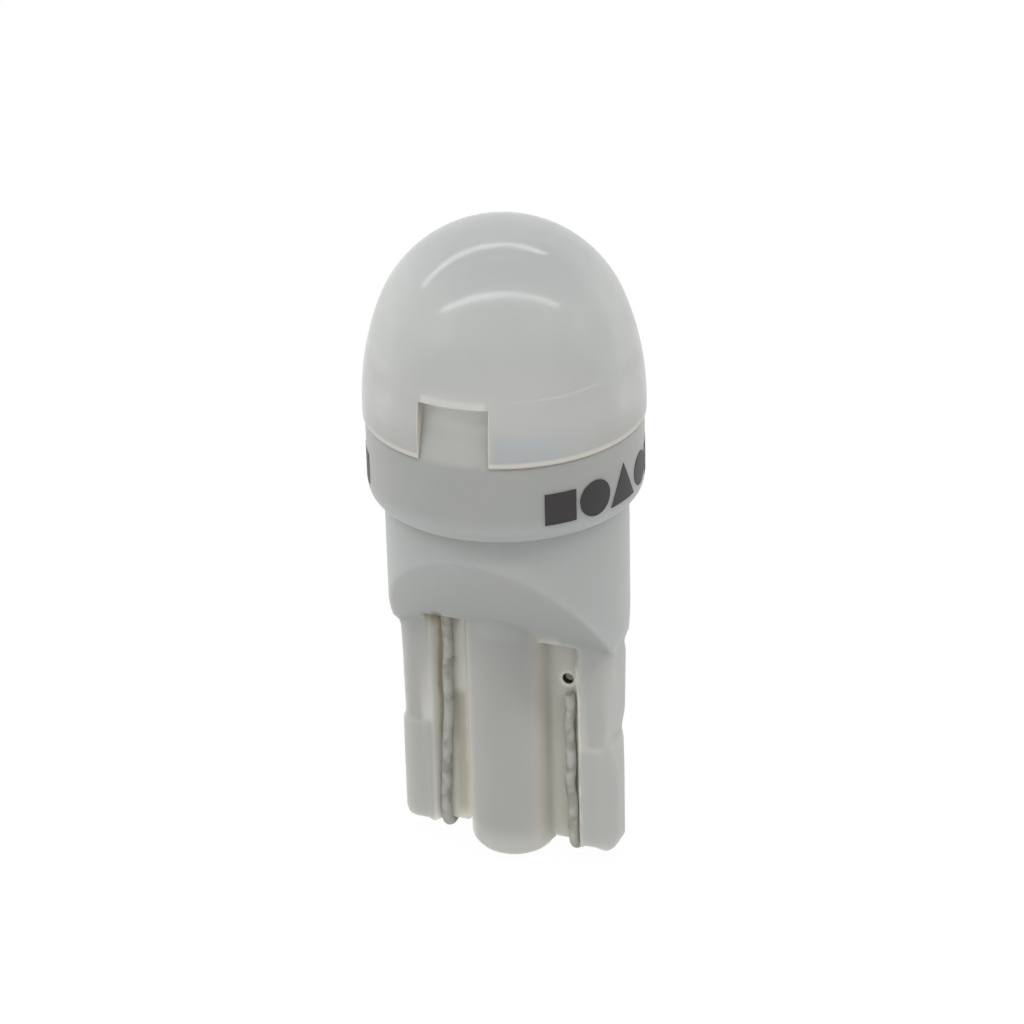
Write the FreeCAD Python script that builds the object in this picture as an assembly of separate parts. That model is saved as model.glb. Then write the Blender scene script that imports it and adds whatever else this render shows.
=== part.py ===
import FreeCAD, Part
import math
import os

# Wedge base bulb, millimetres. +Z points up to the dome, the blade's faces look along -Y and +Y.
# The origin is on the centre line, level with the lowest point of the rib.

# Heights, stacked from the bottom
rib_drop = 1.06
blade_length = 9.34
neck_height = 6.16
collar_height = 3.28
dome_height = 7.92

# Neck and collar: each stands a step out from what is below it
neck_step = 0.16
collar_step = 0.57
collar_corner_radius = 0.72
collar_corner_height = 0.58

# Shoulders between the round neck and the flat blade
shoulder_angle = 52.0
shoulder_wall = 0.9

# Blade
blade_thickness = 2.1
blade_width = 9.44
blade_side_radius = 0.8
blade_corner_radius = 0.4
ledge_height = 4.5
ledge_depth = 0.13
ledge_soft_radius = 0.3
ledge_step = 0.1
notch_depth = 0.3
notch_run = 1.4
notch_radius = 2.0
taper_end_inset = 0.2
taper_radius = 1.5
flare_reach = 0.65
rib_wire_gap = 0.565
rib_end_height = 0.4
rib_end_inset = 0.3

# Wire grooves
groove_under_rib = 0.5
groove_beside_wire = 0.73
groove_wall_slope = 0.36
groove_top_gap = 0.25
groove_top_rise = 0.45
web_gap = 0.05

# Contact wires
wire_diameter = 0.43
wire_board_margin = 1.62
wire_lean = 0.14
hook_drop = 0.68
hook_runs = 5
tail_kinks = ((0.03, 1.4), (-0.08, 2.6), (0.05, 4.3), (-0.16, 5.45), (0.14, 6.05))
tail_tip = (-0.1, 6.65)
tail_hole_radius = 0.2
tail_hole_height = 7.26
hole_gap = 0.04

# Cavity, slots and spigot of the housing
neck_wall = 0.93
floor_thickness = 1.15
slot_depth = 0.3
slot_gap = 0.05
spigot_height = 1.15
spigot_gap = 0.08
slit_width = 0.35
slit_angles = (45.0, 135.0, 225.0, 315.0)

# Tongues of the housing and notches of the dome
tongue_width = 2.86
tongue_ramp = 0.6
tongue_gap = 0.04
tongue_top_gap = 0.08
tongue_relief = 0.35
notch_height = 2.4

# Dome
dome_overhang = 0.08
dome_rim_bevel = 0.12
dome_widest_rise = 0.5
dome_rim_wall = 0.83
dome_wall = 1.0
crown_tuck = 0.42
inner_crown_angles = (5.0, 33.0, 61.0)

# Circuit board
board_thickness = 0.8
board_height = 7.0
board_head_width = 3.8
board_corner_radius = 0.3

# Light packages, one on each face of the board head
led_width = 2.5
led_height = 3.2
led_depth = 0.7
led_rise = 2.5
led_top_margin = 0.9
led_floor = 0.2
led_rim = 0.25
led_bowl_slope = 0.15
led_bowl_corner = 0.5
led_terminal_width = 1.7
led_terminal_reach = 0.15
led_terminal_thickness = 0.15

# Parts on the board: heights are from the board's lower edge
upper_row_height = 5.0
lower_row_height = 1.75
diode_length = 1.7
diode_width = 1.25
diode_depth = 0.85
diode_edge_margin = 0.55
resistor_length = 1.5
resistor_width = 1.25
resistor_depth = 0.5
capacitor_length = 1.5
capacitor_width = 1.25
capacitor_depth = 0.8
capacitor_offset = 1.3
chip_end_length = 0.25
driver_length = 2.9
driver_width = 1.3
driver_depth = 1.0
driver_edge_margin = 1.15
driver_leg_pitch = 0.95
moulded_draft = 0.08
lead_foot = 0.35
lead_thickness = 0.15
lead_width = 0.5
lead_rise = 0.5
solder_height = 0.55
solder_radius = 0.83
solder_top_radius = 0.45
wire_end_above_solder = 0.1

# Levels
blade_bottom = rib_drop
shoulder_foot = blade_bottom + blade_length
collar_base = shoulder_foot + neck_height
collar_top = collar_base + collar_height
dome_top = collar_top + dome_height
notch_top = collar_top + notch_height
ledge_z = blade_bottom + ledge_height
groove_top = shoulder_foot - groove_top_gap
wire_groove_top = shoulder_foot + groove_top_rise
cavity_floor = shoulder_foot + floor_thickness
board_foot = cavity_floor
board_shoulder = board_foot + board_height
led_centre = collar_top + led_rise
board_top = led_centre + led_height / 2 + led_top_margin
upper_row = board_foot + upper_row_height
solder_z = board_foot + lower_row_height

# Radii and half widths
blade_side = blade_width / 2
neck_radius = blade_side + neck_step
collar_radius = neck_radius + collar_step
dome_radius = collar_radius + dome_overhang
rebate_radius = dome_radius - dome_rim_wall
spigot_radius = rebate_radius - spigot_gap
cavity_radius = neck_radius - neck_wall
blade_half = blade_thickness / 2
board_half = board_thickness / 2
board_side = cavity_radius + slot_depth - slot_gap
tongue_half = tongue_width / 2
wire_radius = wire_diameter / 2
wire_offset = board_side - wire_board_margin
rib_radius = wire_offset - wire_radius - rib_wire_gap
groove_inner = rib_radius - groove_under_rib
groove_outer = wire_offset + groove_beside_wire
diode_x = board_side - diode_edge_margin - diode_width / 2
driver_x = board_side - driver_edge_margin - driver_length / 2

# The wires lie against the board, and the web between the grooves stands just clear of them
wire_y = board_half + wire_radius
web_half = board_half - web_gap
hook_centre = blade_bottom - hook_drop + wire_radius + wire_y
wire_end = solder_z + solder_radius + wire_end_above_solder

slope = math.tan(math.radians(shoulder_angle))
beyond = 2 * dome_radius

Vector = FreeCAD.Vector
Z_AXIS = Vector(0, 0, 1)
ORIGIN = Vector(0, 0, 0)


def save(name, shape):
    """Write one named piece."""
    shape.exportStep("parts/" + name + ".step")


def box(x0, x1, y0, y1, z0, z1):
    """A block between two corners."""
    return Part.makeBox(x1 - x0, y1 - y0, z1 - z0, Vector(x0, y0, z0))


def cylinder(radius, z0, z1, x=0.0, y=0.0):
    """An upright round bar."""
    return Part.makeCylinder(radius, z1 - z0, Vector(x, y, z0))


def turned(shape, angle=180.0):
    """A copy turned about the centre line."""
    copy = shape.copy()
    copy.rotate(ORIGIN, Z_AXIS, angle)
    return copy


def rounded_path(points, radii, closed=False):
    """Straight runs joined by tangent arcs, one radius for each point."""
    count = len(points)
    entries = []
    for index, point in enumerate(points):
        radius = radii[index]
        is_end = not closed and index in (0, count - 1)
        if is_end or radius == 0:
            entries.append((point, None, point))
            continue
        back = (points[index - 1] - point).normalize()
        ahead = (points[(index + 1) % count] - point).normalize()
        half = back.getAngle(ahead) / 2
        run = radius / math.tan(half)
        middle = (back + ahead).normalize()
        on_arc = point + middle * (radius / math.sin(half) - radius)
        entries.append((point + back * run, on_arc, point + ahead * run))
    edges = []
    for index, (arrive, on_arc, leave) in enumerate(entries):
        if on_arc is not None:
            edges.append(Part.Arc(arrive, on_arc, leave).toShape())
        if index < count - 1 or closed:
            following = entries[(index + 1) % count][0]
            edges.append(Part.LineSegment(leave, following).toShape())
    return Part.Wire(edges)


def prism(points, radii, direction):
    """A flat outline with rounded corners, drawn out along a direction."""
    outline = rounded_path(points, radii, closed=True)
    return Part.Face(outline).extrude(direction)


def mirrored_points(half_points):
    """Closes a right-hand half outline, listed from top to bottom, with its left-hand half."""
    left = [Vector(-p.x, -p.y, p.z) for p in reversed(half_points)]
    return half_points + left


def upright_slab(half_points, half_radii, depth):
    """A symmetric front outline given by its right half, drawn out evenly to front and back."""
    points = [Vector(x, -depth, z) for x, z in half_points]
    left = [Vector(-x, -depth, z) for x, z in reversed(half_points)]
    radii = list(half_radii) + list(reversed(half_radii))
    return prism(points + left, radii, Vector(0, 2 * depth, 0))


def shoulder_level(y):
    """Height of the outer shoulder at a distance from the blade's middle plane."""
    return shoulder_foot + slope * (y - blade_half)


def wedge_section():
    """Side view of the housing below the collar: thin blade, then the sloping shoulders."""
    half_points = [
        Vector(0, beyond, collar_base),
        Vector(0, beyond, shoulder_level(beyond)),
        Vector(0, blade_half, shoulder_foot),
        Vector(0, blade_half, blade_bottom),
    ]
    if half_points[1].z > collar_base:
        reach = blade_half + (collar_base - shoulder_foot) / slope
        half_points[0:2] = [Vector(0, reach, collar_base)]
    points = mirrored_points(half_points)
    slab = prism(points, [0] * len(points), Vector(2 * beyond, 0, 0))
    slab.translate(Vector(-beyond, 0, 0))
    return slab


def front_outline():
    """Front view of the blade: tapered sides, a notch above each ledge and rounded lower corners."""
    taper_x = blade_side - taper_end_inset
    half_points = [
        (neck_radius + flare_reach, collar_base),
        (neck_radius + taper_end_inset, shoulder_foot + flare_reach),
        (taper_x, shoulder_foot - flare_reach),
        (blade_side - notch_depth, ledge_z + notch_depth),
        (blade_side - ledge_step, ledge_z),
        (blade_side, ledge_z - notch_run),
        (blade_side, blade_bottom),
    ]
    half_radii = [0, 0, taper_radius, ledge_soft_radius, ledge_soft_radius, notch_radius, blade_corner_radius]
    return upright_slab(half_points, half_radii, beyond)


def four_corners(shape):
    """A front left shape and its copies at the other three corners."""
    other = shape.mirror(ORIGIN, Vector(1, 0, 0))
    return [shape, turned(shape), other, turned(other)]


def side_cuts():
    """What is taken off the blade's four upright corners, up to the shoulder slopes carried inwards."""
    centre_x = -blade_side + blade_side_radius
    centre_y = -blade_half + blade_side_radius
    outer_y = -blade_half - blade_side_radius
    points = [
        Vector(centre_x, centre_y, -blade_length),
        Vector(centre_x, outer_y, -blade_length),
        Vector(centre_x, outer_y, shoulder_level(-outer_y)),
        Vector(centre_x, centre_y, shoulder_level(-centre_y)),
    ]
    block = prism(points, [0] * len(points), Vector(-beyond, 0, 0))
    corner = block.cut(cylinder(blade_side_radius, -beyond, dome_top, centre_x, centre_y))
    return four_corners(corner)


def lower_body():
    """Round neck that runs into the flat blade, whose upright sides are rounded."""
    bar = cylinder(neck_radius, blade_bottom, collar_base)
    body = bar.common(wedge_section()).common(front_outline())
    for cut in side_cuts() + ledge_cuts() + groove_cuts():
        body = body.cut(cut)
    return body


def rib():
    """Round bar down the middle of the blade, bevelled at its lower end."""
    top = shoulder_level(rib_radius) + web_gap
    profile = Part.makePolygon([
        Vector(0, 0, top),
        Vector(rib_radius, 0, top),
        Vector(rib_radius, 0, rib_end_height),
        Vector(rib_radius - rib_end_inset, 0, 0),
        Vector(0, 0, 0),
        Vector(0, 0, top),
    ])
    return Part.Face(profile).revolve(ORIGIN, Z_AXIS, 360)


def collar():
    """Thick ring under the dome, rounded at its lower edge."""
    arc_x = collar_radius - collar_corner_radius
    arc_z = collar_base + collar_corner_height
    foot_x = arc_x + math.sqrt(collar_corner_radius**2 - collar_corner_height**2)
    middle_angle = 0.5 * math.asin(collar_corner_height / collar_corner_radius)
    on_arc = Vector(
        arc_x + collar_corner_radius * math.cos(middle_angle),
        0,
        arc_z - collar_corner_radius * math.sin(middle_angle),
    )
    foot = Vector(foot_x, 0, collar_base)
    side = Vector(collar_radius, 0, arc_z)
    edges = [
        Part.LineSegment(Vector(0, 0, collar_base), foot).toShape(),
        Part.Arc(foot, on_arc, side).toShape(),
        Part.LineSegment(side, Vector(collar_radius, 0, collar_top)).toShape(),
        Part.LineSegment(Vector(collar_radius, 0, collar_top), Vector(0, 0, collar_top)).toShape(),
        Part.LineSegment(Vector(0, 0, collar_top), Vector(0, 0, collar_base)).toShape(),
    ]
    return Part.Face(Part.Wire(edges)).revolve(ORIGIN, Z_AXIS, 360)


def spigot():
    """Ring that centres the dome, left away beside the tongues and slit at its quarters."""
    ring = cylinder(spigot_radius, collar_top, collar_top + spigot_height)
    relief = tongue_half + tongue_relief
    cuts = [box(-relief, relief, -beyond, beyond, collar_top, collar_top + spigot_height)]
    for angle in slit_angles:
        slit = box(0, beyond, -slit_width / 2, slit_width / 2, collar_top, dome_top)
        cuts.append(turned(slit, angle))
    return ring.cut(Part.makeCompound(cuts))


def tongues():
    """Two upright tongues, front and back, flush with the collar below and ramped inwards above."""
    top = notch_top - tongue_top_gap
    profile = Part.makePolygon([
        Vector(0, 0, collar_top),
        Vector(collar_radius, 0, collar_top),
        Vector(collar_radius - tongue_ramp, 0, top),
        Vector(0, 0, top),
        Vector(0, 0, collar_top),
    ])
    cone = Part.Face(profile).revolve(ORIGIN, Z_AXIS, 360)
    return cone.common(box(-tongue_half, tongue_half, -beyond, beyond, collar_top, top))


def cavity():
    """Space for the board: round above, and following the shoulders down to a narrow floor."""
    rise = shoulder_wall / math.cos(math.radians(shoulder_angle))
    floor_half = blade_half + (cavity_floor - shoulder_foot - rise) / slope
    wide_level = cavity_floor + slope * (cavity_radius - floor_half)
    half_points = [
        Vector(0, cavity_radius, dome_top),
        Vector(0, cavity_radius, wide_level),
        Vector(0, floor_half, cavity_floor),
    ]
    points = mirrored_points(half_points)
    slab = prism(points, [0] * len(points), Vector(2 * beyond, 0, 0))
    slab.translate(Vector(-beyond, 0, 0))
    room = slab.common(cylinder(cavity_radius, cavity_floor, dome_top))
    slot_side = cavity_radius + slot_depth
    slot_half = board_half + slot_gap
    slots = box(-slot_side, slot_side, -slot_half, slot_half, cavity_floor, dome_top)
    return room.fuse(slots)


def groove_cuts():
    """Four wire grooves and the ways through for the wires. The groove with a wire from above is longer."""
    points = [
        Vector(-groove_inner, -beyond, -blade_length),
        Vector(-groove_outer, -beyond, -blade_length),
        Vector(-groove_outer, -blade_half, -blade_length),
        Vector(-groove_outer + groove_wall_slope, -web_half, -blade_length),
        Vector(-groove_inner, -web_half, -blade_length),
    ]
    wire_groove = prism(points, [0] * len(points), Vector(0, 0, wire_groove_top + blade_length))
    tail_groove = prism(points, [0] * len(points), Vector(0, 0, groove_top + blade_length))
    tail_groove = tail_groove.mirror(ORIGIN, Vector(1, 0, 0))
    way_in = cylinder(
        wire_radius + hole_gap,
        wire_groove_top - hole_gap,
        cavity_floor + hole_gap,
        -wire_offset,
        -wire_y,
    )
    tail_hole = Part.makeCylinder(
        tail_hole_radius,
        blade_thickness,
        Vector(wire_offset, -blade_half, blade_bottom + tail_hole_height),
        Vector(0, 1, 0),
    )
    cuts = []
    for shape in (wire_groove, tail_groove, way_in, tail_hole):
        cuts += [shape, turned(shape)]
    return cuts


def ledge_cuts():
    """Shallow recesses on the outer strips of the blade, deepest at the ledge and fading upwards."""
    recess = prism(
        [
            Vector(-groove_inner, -blade_half + ledge_depth, ledge_z),
            Vector(-groove_inner, -beyond, ledge_z),
            Vector(-groove_inner, -beyond, groove_top),
            Vector(-groove_inner, -blade_half, groove_top),
        ],
        [0, 0, 0, 0],
        Vector(-beyond, 0, 0),
    )
    return four_corners(recess)


def base_housing():
    """The white moulding: collar, neck, shoulders and blade in one piece."""
    body = lower_body().fuse([rib(), collar()])
    upper = spigot().fuse(tongues())
    body = body.fuse(upper).cut(cavity())
    return body.removeSplitter()


def dome_arcs(inset):
    """Side arc and crown arc of the dome, set in from the outer face."""
    crown_radius = dome_radius - crown_tuck
    widest_z = collar_top + dome_widest_rise
    height = dome_top - widest_z
    side_radius = (dome_radius**2 + height**2 - 2 * height * crown_radius) / (2 * crown_tuck)
    side_centre = Vector(dome_radius - side_radius, 0, widest_z)
    crown_centre = Vector(0, 0, dome_top - crown_radius)
    towards_joint = (crown_centre - side_centre).normalize()
    return side_centre, side_radius - inset, crown_centre, crown_radius - inset, towards_joint


def dome_curve(inset, start_z):
    """The dome's outline from a starting height up to the centre line."""
    side_centre, side_radius, crown_centre, crown_radius, towards_joint = dome_arcs(inset)
    start_angle = math.asin((start_z - side_centre.z) / side_radius)
    joint_angle = math.atan2(towards_joint.z, towards_joint.x)

    def on_side(angle):
        return side_centre + Vector(math.cos(angle), 0, math.sin(angle)) * side_radius

    def on_crown(angle):
        return crown_centre + Vector(math.cos(angle), 0, math.sin(angle)) * crown_radius

    start = on_side(start_angle)
    joint = on_side(joint_angle)
    top = on_crown(math.pi / 2)
    side_arc = Part.Arc(start, on_side((start_angle + joint_angle) / 2), joint).toShape()
    crown_arc = Part.Arc(joint, on_crown((joint_angle + math.pi / 2) / 2), top).toShape()
    return start, top, [side_arc, crown_arc]


def dome_diffuser():
    """Frosted cap: a wall of nearly even depth, a wider bore at the rim, and a notch over each tongue."""
    outer_start, outer_top, outer = dome_curve(0, collar_top + dome_rim_bevel)
    crown_radius = dome_radius - crown_tuck
    centre_z = dome_top - crown_radius
    inner_radius = crown_radius - dome_wall
    inner = []
    for angle in inner_crown_angles:
        turn = math.radians(angle)
        inner.append(Vector(inner_radius * math.cos(turn), 0, centre_z + inner_radius * math.sin(turn)))
    points = [
        outer_top,
        Vector(0, 0, inner[-1].z),
        *reversed(inner),
        Vector(dome_radius - dome_wall, 0, notch_top),
        Vector(rebate_radius, 0, notch_top),
        Vector(rebate_radius, 0, collar_top),
        Vector(outer_start.x - dome_rim_bevel, 0, collar_top),
        outer_start,
    ]
    edges = outer + [Part.LineSegment(a, b).toShape() for a, b in zip(points, points[1:])]
    shell = Part.Face(Part.Wire(edges)).revolve(ORIGIN, Z_AXIS, 360)
    half = tongue_half + tongue_gap
    return shell.cut(box(-half, half, -beyond, beyond, blade_bottom, notch_top))


def contact_wire():
    """Left wire: from the board down the front groove, round under the blade and up the back."""
    low_x = -wire_offset - wire_lean
    path = [
        Vector(-wire_offset, -wire_y, wire_end),
        Vector(-wire_offset, -wire_y, wire_groove_top - wire_diameter),
        Vector(low_x, -wire_y, hook_centre + wire_diameter),
    ]
    half_turn = math.pi / hook_runs / 2
    for run in range(hook_runs):
        angle = (2 * run + 1) * half_turn
        reach = wire_y / math.cos(half_turn)
        path.append(Vector(low_x, -reach * math.cos(angle), hook_centre - reach * math.sin(angle)))
    for aside, height in tail_kinks + (tail_tip,):
        path.append(Vector(low_x - aside, wire_y, blade_bottom + height))
    section = Part.Wire(Part.makeCircle(wire_radius, path[0], Z_AXIS))
    return Part.makePolygon(path).makePipeShell([section], True, False, 1)


def circuit_board():
    """Standing board: wide between the housing's slots, with a narrow head up in the dome."""
    head = board_head_width / 2
    half_points = [
        (head, board_top),
        (head, board_shoulder),
        (board_side, board_shoulder),
        (board_side, board_foot),
    ]
    half_radii = [board_corner_radius, 0, 0, 0]
    return upright_slab(half_points, half_radii, board_half)


def led_bowl():
    """The open bowl of the package, filled with phosphor: eight-sided and narrower at its floor."""
    face_y = -board_half - led_depth
    floor_y = -board_half - led_floor

    def loop(y, inset):
        half_x = led_width / 2 - led_rim - inset
        half_z = led_height / 2 - led_rim - inset
        corners = [
            (half_x, half_z - led_bowl_corner),
            (half_x - led_bowl_corner, half_z),
            (led_bowl_corner - half_x, half_z),
            (-half_x, half_z - led_bowl_corner),
            (-half_x, led_bowl_corner - half_z),
            (led_bowl_corner - half_x, -half_z),
            (half_x - led_bowl_corner, -half_z),
            (half_x, led_bowl_corner - half_z),
            (half_x, half_z - led_bowl_corner),
        ]
        return Part.makePolygon([Vector(x, y, led_centre + z) for x, z in corners])

    return Part.makeLoft([loop(face_y, 0), loop(floor_y, led_bowl_slope)], True, True)


def led_body():
    """Moulded package with its bowl open to the front."""
    block = seated(led_height, led_width, led_depth, 0, led_centre)
    return block.cut(led_bowl())


def led_terminals():
    """Metal tabs at the package's two ends."""
    half = led_terminal_width / 2
    end = led_centre + led_height / 2
    upper = box(-half, half, -board_half - led_terminal_thickness, -board_half, end, end + led_terminal_reach)
    lower = upper.mirror(Vector(0, 0, led_centre), Z_AXIS)
    return Part.makeCompound([upper, lower])


def seated(length, width, depth, x, z):
    """An upright block on the board's front face."""
    return box(x - width / 2, x + width / 2, -board_half - depth, -board_half, z - length / 2, z + length / 2)


def moulded(length, width, depth, x, z):
    """A body on the board's front face, widest half way out and drawn in a little to both faces."""

    def loop(y, inset):
        half_x = width / 2 - inset
        half_z = length / 2 - inset
        signs = ((1, 1), (-1, 1), (-1, -1), (1, -1), (1, 1))
        return Part.makePolygon([Vector(x + sx * half_x, y, z + sz * half_z) for sx, sz in signs])

    levels = [(0, moulded_draft), (depth / 2, 0), (depth, moulded_draft)]
    loops = [loop(-board_half - out, inset) for out, inset in levels]
    return Part.makeLoft(loops, True, True)


def bent_lead(x, end_z, direction):
    """A lead that stands against an end face and has a foot on the board, upwards (1) or downwards (-1)."""
    left = x - lead_width / 2
    front = -board_half
    points = [
        Vector(left, front, 0),
        Vector(left, front, lead_foot),
        Vector(left, front - lead_thickness, lead_foot),
        Vector(left, front - lead_thickness, lead_thickness),
        Vector(left, front - lead_rise, lead_thickness),
        Vector(left, front - lead_rise, 0),
    ]
    lead = prism(points, [0] * len(points), Vector(lead_width, 0, 0))
    if direction < 0:
        lead = lead.mirror(ORIGIN, Z_AXIS)
    lead.translate(Vector(0, 0, end_z))
    return lead


def to_face(shape, on_back):
    """Leaves a shape on the front face, or takes it to the same place on the back."""
    if on_back:
        return shape.mirror(ORIGIN, Vector(0, 1, 0))
    return shape


def diode_places():
    """Side and face of each of the four rectifier diodes."""
    return [(-diode_x, False), (diode_x, False), (-diode_x, True), (diode_x, True)]


def diode(x):
    """Moulded diode body."""
    return moulded(diode_length, diode_width, diode_depth, x, upper_row)


def diode_leads():
    """A bent lead above and below each diode."""
    leads = []
    for x, on_back in diode_places():
        for direction in (1, -1):
            lead = bent_lead(x, upper_row + direction * diode_length / 2, direction)
            leads.append(to_face(lead, on_back))
    return Part.makeCompound(leads)


def resistor():
    """Chip resistor between the diodes."""
    return seated(resistor_length, resistor_width, resistor_depth, 0, upper_row)


def resistor_ends():
    """Metal ends above and below each resistor."""
    reach = resistor_length / 2 + chip_end_length / 2
    ends = []
    for on_back in (False, True):
        for side in (-1, 1):
            end = seated(chip_end_length, resistor_width, resistor_depth, 0, upper_row + side * reach)
            ends.append(to_face(end, on_back))
    return Part.makeCompound(ends)


def capacitor():
    """Chip capacitor on the board's back."""
    block = seated(capacitor_width, capacitor_length, capacitor_depth, -capacitor_offset, solder_z)
    return to_face(block, True)


def capacitor_ends():
    """Metal ends left and right of the capacitor."""
    reach = capacitor_length / 2 + chip_end_length / 2
    ends = []
    for side in (-1, 1):
        x = -capacitor_offset + side * reach
        end = seated(capacitor_width, chip_end_length, capacitor_depth, x, solder_z)
        ends.append(to_face(end, True))
    return Part.makeCompound(ends)


def driver_chip():
    """Current driver: a moulded body, longer than it is high."""
    return moulded(driver_width, driver_length, driver_depth, driver_x, solder_z)


def driver_chip_legs():
    """Two legs below the driver and one above."""
    places = ((-driver_leg_pitch, -1), (driver_leg_pitch, -1), (0, 1))
    legs = []
    for x, direction in places:
        legs.append(bent_lead(driver_x + x, solder_z + direction * driver_width / 2, direction))
    return Part.makeCompound(legs)


def solder_joint():
    """Mound of solder round the left wire, on the board's front face."""
    mound = Part.makeCone(
        solder_radius,
        solder_top_radius,
        solder_height,
        Vector(-wire_offset, -board_half, solder_z),
        Vector(0, -1, 0),
    )
    bar = cylinder(wire_radius, cavity_floor, wire_end, -wire_offset, -wire_y)
    under = box(
        -wire_offset - wire_radius, -wire_offset + wire_radius,
        -wire_y, -board_half,
        cavity_floor, wire_end,
    )
    return mound.cut(bar.fuse(under))


def main():
    os.makedirs("parts", exist_ok=True)
    save("base_housing", base_housing())
    save("dome_diffuser", dome_diffuser())
    save("circuit_board", circuit_board())
    left_wire = contact_wire()
    save("contact_wire_left", left_wire)
    save("contact_wire_right", turned(left_wire))
    left_joint = solder_joint()
    save("solder_joint_left", left_joint)
    save("solder_joint_right", turned(left_joint))
    for face, on_back in (("front", False), ("back", True)):
        save("led_" + face + "_body", to_face(led_body(), on_back))
        save("led_" + face + "_phosphor", to_face(led_bowl(), on_back))
        save("led_" + face + "_terminals", to_face(led_terminals(), on_back))
        save("resistor_" + face, to_face(resistor(), on_back))
    for number, (x, on_back) in enumerate(diode_places(), 1):
        save("rectifier_diode_" + str(number), to_face(diode(x), on_back))
    save("diode_leads", diode_leads())
    save("resistor_ends", resistor_ends())
    save("capacitor", capacitor())
    save("capacitor_ends", capacitor_ends())
    save("driver_chip", driver_chip())
    save("driver_chip_legs", driver_chip_legs())


main()
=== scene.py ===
import math

import bmesh
import bpy
from mathutils import Matrix, Vector


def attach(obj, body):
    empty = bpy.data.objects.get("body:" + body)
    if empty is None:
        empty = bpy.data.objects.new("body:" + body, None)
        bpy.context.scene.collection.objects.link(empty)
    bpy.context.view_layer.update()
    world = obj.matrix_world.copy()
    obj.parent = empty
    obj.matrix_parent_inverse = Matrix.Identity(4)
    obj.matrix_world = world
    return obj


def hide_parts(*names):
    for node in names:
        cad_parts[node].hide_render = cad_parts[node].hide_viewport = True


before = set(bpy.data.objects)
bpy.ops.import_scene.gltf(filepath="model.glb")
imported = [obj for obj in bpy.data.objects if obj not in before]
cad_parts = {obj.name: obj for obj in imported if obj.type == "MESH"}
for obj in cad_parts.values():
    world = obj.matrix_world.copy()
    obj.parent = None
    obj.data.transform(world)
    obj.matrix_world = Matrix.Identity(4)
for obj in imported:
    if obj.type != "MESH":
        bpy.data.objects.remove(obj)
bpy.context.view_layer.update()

MM = 0.001

# Sizes in millimetres, with heights from the rib's lower end. The collar's radius is 0.06 larger
# than the solid's, and the cap's is 0.07 larger.
COLLAR_RADIUS = 5.51
COLLAR_TOP = 19.84
DOME_RADIUS = 5.60
DOME_TOP = 27.76
DOME_WALL = 1.0
DOME_RIM_RADIUS = 0.12
DOME_WIDEST_RISE = 0.5
REBATE_RADIUS = 4.70
NOTCH_TOP = 22.24
NOTCH_HALF = 1.45
CROWN_TUCK = 0.42
WIRE_RADIUS = 0.215
WIRE_OFFSET = 2.58
WIRE_Y = 0.615
HOOK_CENTRE = 1.12
HOLE_HEIGHT = 8.32
HOLE_RADIUS = 0.2

# The left wire's upper run as heights, its sway below that, and its tail's sway up the back, as
# distance across and height
WIRE_RUN = (14.2, 12.0, 10.6)
WIRE_SWAY = ((0.08, 9.2), (0.0, 7.8), (0.02, 6.3), (-0.08, 4.9), (-0.16, 3.4), (-0.24, 2.0), (-0.26, 1.5))
TAIL_SWAY = (
    (0.03, 1.7), (0.02, 2.7), (0.14, 3.6), (0.07, 4.4), (0.08, 5.2),
    (0.12, 5.9), (0.15, 6.5), (0.04, 7.15), (0.1, 7.8),
)

# Marks round the collar: the angle to the right of the front in degrees, and a disc's radius or the
# corners of a straight-sided form
MARK_HEIGHT = 17.95
SQUARE = ((-0.66, -0.66), (0.66, -0.66), (0.66, 0.66), (-0.66, 0.66))
TRIANGLE = ((-0.82, -0.74), (0.82, -0.74), (0.0, 0.9))
MARKS = (
    (44.0, SQUARE), (60.5, 0.76), (77.5, TRIANGLE), (94.0, 0.7), (109.0, SQUARE),
    (-62.0, SQUARE), (-79.0, 0.7),
)
MARK_LAYERS = (-0.05, 0.012)
MARK_RINGS = (1.0, 0.66, 0.33)

# How finely the curved pieces are stepped
DOME_SEGMENTS = 192
OUTER_STEPS = 24
INNER_STEPS = 20
RIM_STEPS = 6
WIRE_SEGMENTS = 20
WIRE_END_SHARE = 0.75
HOOK_STEPS = 8
CURVE_STEPS = 5
DISC_STEPS = 28
MARK_SIDE_STEP = 0.15
SHARP_ANGLE = 35
ON_AXIS = 1e-6

# How the housing's edges are softened
WELD_REACH = 0.0005
VOXEL = 0.09
SMOOTHING = 0.5
SMOOTHING_ROUNDS = 8

# Where the real moulding departs from the solid: amounts, and the spans over which they come or go
BELOW_COLLAR = 16.0
COLLAR_GROWTH = 0.06
COLLAR_SKIN = (4.9, 5.3)
TONGUE_INNER_FACE = 4.0
TONGUE_WIDENING = 0.07
TONGUE_SIDE = (0.9, 1.35)
TONGUE_RISE = 0.05
TONGUE_END = (21.6, 22.1)
SIDE_FULLNESS = 0.2
SIDE_ACROSS = (3.7, 4.5)
SIDE_START = (5.3, 7.0)
SIDE_END = (9.4, 10.4)
RIB_LIFT = 0.17
RIB_SIDE = (1.7, 2.0)
RIB_END = (0.3, 1.6)
BLADE_DROP = 0.12
BLADE_END = (1.3, 3.2)
WEB_DROP = 0.2
WEB_SIDE = (3.2, 3.5)
CORNER_DROP = 0.18
CORNER_SIDE = (3.9, 4.5)

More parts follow.
